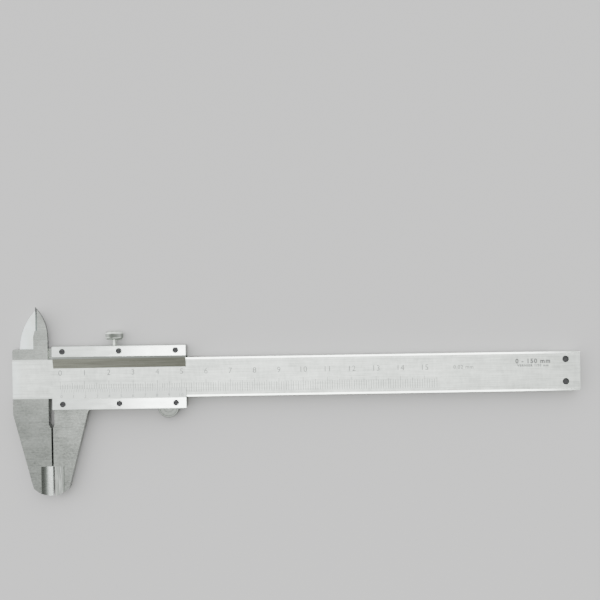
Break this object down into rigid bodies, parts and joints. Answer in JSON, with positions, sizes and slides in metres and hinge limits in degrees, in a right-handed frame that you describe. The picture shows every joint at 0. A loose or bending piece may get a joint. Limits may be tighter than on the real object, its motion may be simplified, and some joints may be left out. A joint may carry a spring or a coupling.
{
  "type": "vernier caliper",
  "caption": "Steel vernier caliper with outside jaws, crossed inside jaws, a sliding vernier with lock screw and thumb roller, and a depth rod.",
  "frame": {"origin": "middle of the footprint, on the plane that the caliper rests on, at rest with the jaws 0.8 mm open", "axes": "+X along the beam from the jaws to the free end, +Y across the beam towards the inside jaws, +Z out of the graduated face"},
  "size_m": [0.2344, 0.078, 0.0074],
  "materials": {
    "satin_steel": "satin chrome-plated steel, milky light grey",
    "ground_steel": "surface-ground steel, faintly streaked",
    "polished_steel": "polished steel",
    "turned_steel": "turned and knurled steel",
    "spring_steel": "rolled spring steel strip",
    "dark_steel": "oil-blackened steel",
    "scale_ink": "black filling of the engraved graduations"
  },
  "bodies": {
    "beam": {"main_beam": "satin_steel", "stop_plate": "ground_steel", "stop_plate_screw_1": "dark_steel", "stop_plate_screw_2": "dark_steel"},
    "slider": {"slider_body": "ground_steel", "upper_strip": "polished_steel", "vernier_strip": "polished_steel", "gib_spring": "spring_steel", "roller_pin": "turned_steel", "upper_strip_screw_1": "dark_steel", "upper_strip_screw_2": "dark_steel", "upper_strip_screw_3": "dark_steel", "vernier_strip_screw_1": "dark_steel", "vernier_strip_screw_2": "dark_steel", "vernier_strip_screw_3": "dark_steel", "depth_rod": "ground_steel", "depth_rod_rivet_1": "turned_steel", "depth_rod_rivet_2": "turned_steel"},
    "lock_screw": {"lock_screw": "turned_steel"},
    "thumb_roller": {"thumb_roller": "turned_steel"}
  },
  "joints": [
    {"name": "slider_travel", "type": "slide", "parent": "beam", "child": "slider", "axis": [1, 0, 0], "range_m": [-0.00075, 0.1492]},
    {"name": "thumb_roller_spin", "type": "hinge", "parent": "slider", "child": "thumb_roller", "pos_m": [-0.0534, -0.0032, 0.0032], "axis": [0, 0, 1], "continuous": true},
    {"name": "lock_screw_turn", "type": "hinge", "parent": "slider", "child": "lock_screw", "pos_m": [-0.0754, 0.0268, 0.0038], "axis": [0, 1, 0], "range_deg": [0, 360]}
  ],
  "couplings": [
    {"joint": "thumb_roller_spin", "follows": "slider_travel", "rad_per_m": 224.72}
  ]
}
